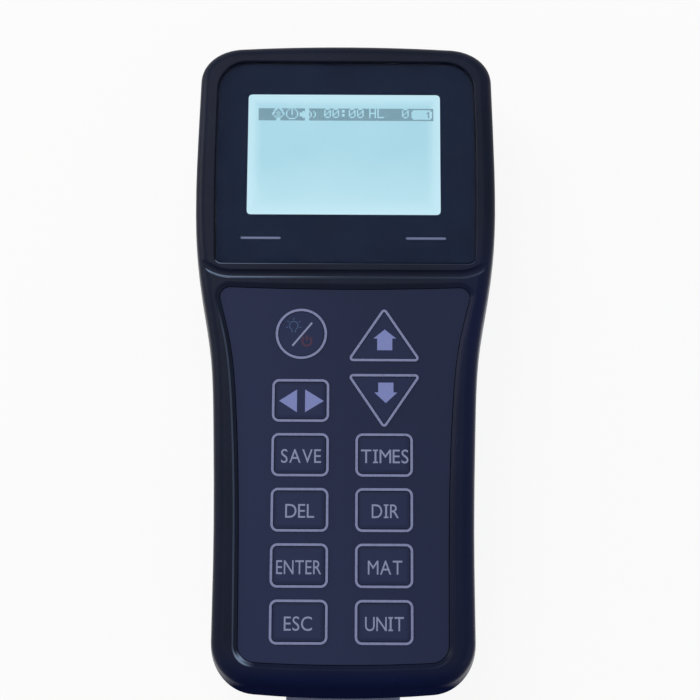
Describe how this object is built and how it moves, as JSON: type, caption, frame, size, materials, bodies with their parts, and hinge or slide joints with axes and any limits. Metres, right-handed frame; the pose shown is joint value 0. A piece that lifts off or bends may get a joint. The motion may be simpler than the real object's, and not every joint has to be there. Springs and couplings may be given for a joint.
{
  "type": "hardness tester",
  "caption": "Handheld hardness tester with a wide display head, waisted grip, membrane keypad, probe socket, battery bay and covered data port.",
  "frame": {"origin": "middle of the whole part's footprint, on the back face that it lies on", "axes": "+X to the right of the keypad, +Y along the length from the foot to the display end, +Z out of the front face"},
  "size_m": [0.0846, 0.1842, 0.038],
  "materials": {
    "housing_front": "satin moulded plastic, dark navy",
    "housing_rear": "fine textured moulded plastic, dark navy",
    "gasket_rubber": "matte",
    "screw_steel": "dark zinc",
    "window_acrylic": "clear hard-coated",
    "mask_ink": "smooth dark print",
    "display_glass": "polarised",
    "light_guide": "frosted, lit",
    "inner_plastic": "moulded",
    "plated_metal": "nickel plated",
    "overlay_film": "fine matte film, printed navy",
    "key_film": "fine matte film, embossed",
    "spacer_film": "white film",
    "circuit_film": "clear film with silver tracks",
    "connector_plastic": "glass filled",
    "board_green": "solder mask",
    "chip_black": "moulded epoxy",
    "cell_steel": "satin",
    "cell_jacket": "plain printed jacket",
    "socket_chrome": "satin chrome",
    "contact_gold": "gold plated",
    "cover_rubber": "soft matte, light grey"
  },
  "bodies": {
    "housing": {"amplifier_chip": "chip_black", "battery_cells": "cell_jacket", "battery_plates": "plated_metal", "battery_springs": "plated_metal", "board_screws": "screw_steel", "buzzer": "chip_black", "case_gasket": "gasket_rubber", "case_screws": "screw_steel", "clock_cell": "cell_steel", "clock_cell_holder": "plated_metal", "display_frame": "inner_plastic", "display_glass": "display_glass", "display_light_guide": "light_guide", "display_pins": "plated_metal", "display_window": "window_acrylic", "front_shell": "housing_front", "keypad_circuit": "circuit_film", "keypad_connector": "connector_plastic", "keypad_domes": "plated_metal", "keypad_overlay": "overlay_film", "keypad_spacer": "spacer_film", "main_board": "board_green", "memory_chip": "chip_black", "port_shell": "plated_metal", "port_tongue": "connector_plastic", "probe_contacts": "contact_gold", "probe_insert": "connector_plastic", "probe_nut": "socket_chrome", "probe_socket": "socket_chrome", "processor_chip": "chip_black", "rear_shell": "housing_rear", "socket_plate": "housing_rear", "window_mask": "mask_ink"},
    "power_key": {"key_power": "key_film"},
    "up_key": {"key_up": "key_film"},
    "down_key": {"key_down": "key_film"},
    "left_right_key": {"key_left_right": "key_film"},
    "save_key": {"key_save": "key_film"},
    "times_key": {"key_times": "key_film"},
    "del_key": {"key_del": "key_film"},
    "dir_key": {"key_dir": "key_film"},
    "enter_key": {"key_enter": "key_film"},
    "mat_key": {"key_mat": "key_film"},
    "esc_key": {"key_esc": "key_film"},
    "unit_key": {"key_unit": "key_film"},
    "battery_door": {"battery_door": "housing_rear"},
    "port_cover": {"port_cover": "cover_rubber"}
  },
  "joints": [
    {"name": "power_key_press", "type": "slide", "parent": "housing", "child": "power_key", "axis": [0, 0, -1], "range_m": [0, 0.00025], "stiffness_N_per_m": 8000},
    {"name": "up_key_press", "type": "slide", "parent": "housing", "child": "up_key", "axis": [0, 0, -1], "range_m": [0, 0.00025], "stiffness_N_per_m": 8000},
    {"name": "down_key_press", "type": "slide", "parent": "housing", "child": "down_key", "axis": [0, 0, -1], "range_m": [0, 0.00025], "stiffness_N_per_m": 8000},
    {"name": "left_right_key_press", "type": "slide", "parent": "housing", "child": "left_right_key", "axis": [0, 0, -1], "range_m": [0, 0.00025], "stiffness_N_per_m": 8000},
    {"name": "save_key_press", "type": "slide", "parent": "housing", "child": "save_key", "axis": [0, 0, -1], "range_m": [0, 0.00025], "stiffness_N_per_m": 8000},
    {"name": "times_key_press", "type": "slide", "parent": "housing", "child": "times_key", "axis": [0, 0, -1], "range_m": [0, 0.00025], "stiffness_N_per_m": 8000},
    {"name": "del_key_press", "type": "slide", "parent": "housing", "child": "del_key", "axis": [0, 0, -1], "range_m": [0, 0.00025], "stiffness_N_per_m": 8000},
    {"name": "dir_key_press", "type": "slide", "parent": "housing", "child": "dir_key", "axis": [0, 0, -1], "range_m": [0, 0.00025], "stiffness_N_per_m": 8000},
    {"name": "enter_key_press", "type": "slide", "parent": "housing", "child": "enter_key", "axis": [0, 0, -1], "range_m": [0, 0.00025], "stiffness_N_per_m": 8000},
    {"name": "mat_key_press", "type": "slide", "parent": "housing", "child": "mat_key", "axis": [0, 0, -1], "range_m": [0, 0.00025], "stiffness_N_per_m": 8000},
    {"name": "esc_key_press", "type": "slide", "parent": "housing", "child": "esc_key", "axis": [0, 0, -1], "range_m": [0, 0.00025], "stiffness_N_per_m": 8000},
    {"name": "unit_key_press", "type": "slide", "parent": "housing", "child": "unit_key", "axis": [0, 0, -1], "range_m": [0, 0.00025], "stiffness_N_per_m": 8000},
    {"name": "battery_door_swing", "type": "hinge", "parent": "housing", "child": "battery_door", "pos_m": [0, -0.01642, 0.0002], "axis": [1, 0, 0], "range_deg": [0, 60]},
    {"name": "port_cover_bend", "type": "hinge", "parent": "housing", "child": "port_cover", "pos_m": [0, -0.0899, 0.0162], "axis": [1, 0, 0], "range_deg": [0, 90]}
  ]
}
